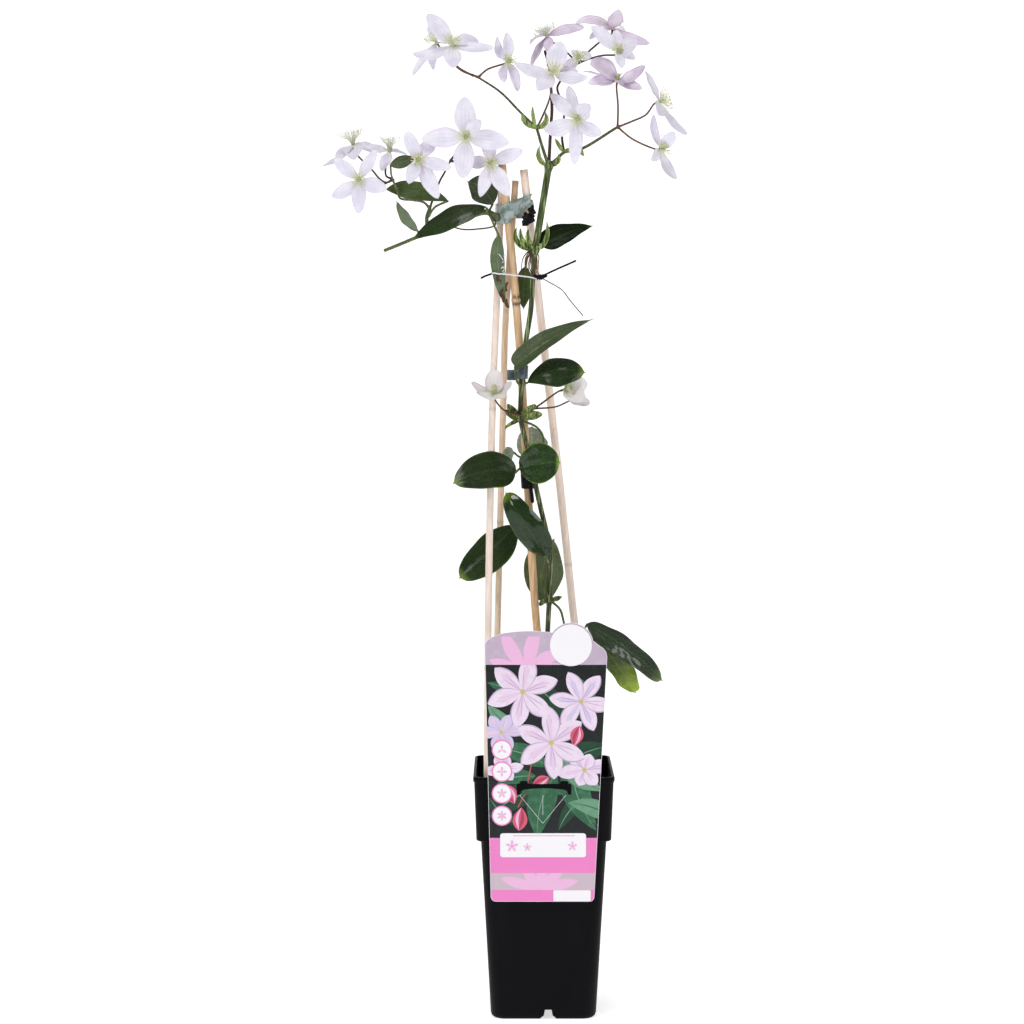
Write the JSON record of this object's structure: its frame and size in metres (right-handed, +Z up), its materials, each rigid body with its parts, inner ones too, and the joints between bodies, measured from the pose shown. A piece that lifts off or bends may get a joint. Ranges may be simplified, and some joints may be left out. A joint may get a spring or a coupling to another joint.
{
  "type": "potted climbing plant on canes",
  "caption": "Flowering evergreen clematis tied to a teepee of bamboo canes, growing in a square black plastic nursery pot with a picture label hung on its rim.",
  "frame": {"origin": "under the middle of the pot, on the ground it stands on", "axes": "+Z up, -Y towards the front of the pot, where its label hangs, +X to the right seen from the front"},
  "size_m": [0.3123, 0.1225, 0.8588],
  "materials": {
    "pot_plastic": "satin black polypropylene",
    "compost": "damp, crumbly potting compost",
    "label_card": "printed plastic card, glossy",
    "cane_pale": "pale bamboo, smooth",
    "cane_brown": "pale brown bamboo, smooth",
    "cane_tan": "tan bamboo with darker streaks",
    "clip_plastic": "grey-green plastic, satin",
    "black_plastic": "black plastic, satin",
    "tie_cord": "white plastic tie, satin",
    "green_stem": "living green stem, smooth",
    "dark_stalk": "dark purple-brown flower stalk",
    "brown_stalk": "brown flower stalk",
    "dark_leaf": "dark evergreen leaf, glossy",
    "pale_leaf": "pale underside of the leaf, matt",
    "sepal": "white to pale lilac sepals, soft sheen"
  },
  "bodies": {
    "root": {"pot": "pot_plastic", "soil": "compost", "label": "label_card", "cane_front_left": "cane_pale", "cane_back_left": "cane_brown", "cane_middle": "cane_tan", "cane_back_right": "cane_pale", "clip_top": "clip_plastic", "clip_catch": "black_plastic", "clip_middle": "clip_plastic", "clip_low": "black_plastic", "tie_loop": "tie_cord", "tie_wire": "black_plastic", "main_stem": "green_stem", "side_stem": "green_stem", "left_flower_stalks": "dark_stalk", "far_flower_stalks": "dark_stalk", "left_branch": "green_stem", "middle_branch": "dark_stalk", "right_branch": "green_stem", "upper_branch": "dark_stalk", "middle_stalk_left": "brown_stalk", "middle_stalk_right": "brown_stalk", "leaf_low_right": "dark_leaf", "leaf_middle_left": "dark_leaf", "leaf_middle_right": "dark_leaf", "leaf_arching": "dark_leaf", "leaf_behind_cane": "dark_leaf", "leaf_behind_stem": "dark_leaf", "leaf_upper_right": "dark_leaf", "leaf_folded": "dark_leaf", "leaf_top_right": "dark_leaf", "leaf_hanging": "pale_leaf", "leaf_long_left": "dark_leaf", "leaf_left_back": "dark_leaf", "leaf_left_hanging": "pale_leaf", "leaf_clip_left": "dark_leaf", "leaf_behind_tie": "dark_leaf", "leaf_pale_round": "pale_leaf", "leaf_pale_small": "pale_leaf", "bloom_1": "sepal", "bloom_2": "sepal", "bloom_3": "sepal", "bloom_4": "sepal", "bloom_5": "sepal", "bloom_6": "sepal", "bloom_7": "sepal", "bloom_8": "sepal", "bloom_9": "sepal", "bloom_10": "sepal", "bloom_11": "sepal", "bloom_12": "sepal", "bloom_13": "sepal", "bloom_14": "sepal", "bloom_15": "sepal", "bloom_16": "sepal", "bloom_17": "sepal", "bloom_18": "sepal", "bloom_half_open": "sepal", "bloom_cup": "sepal"}
  },
  "joints": []
}
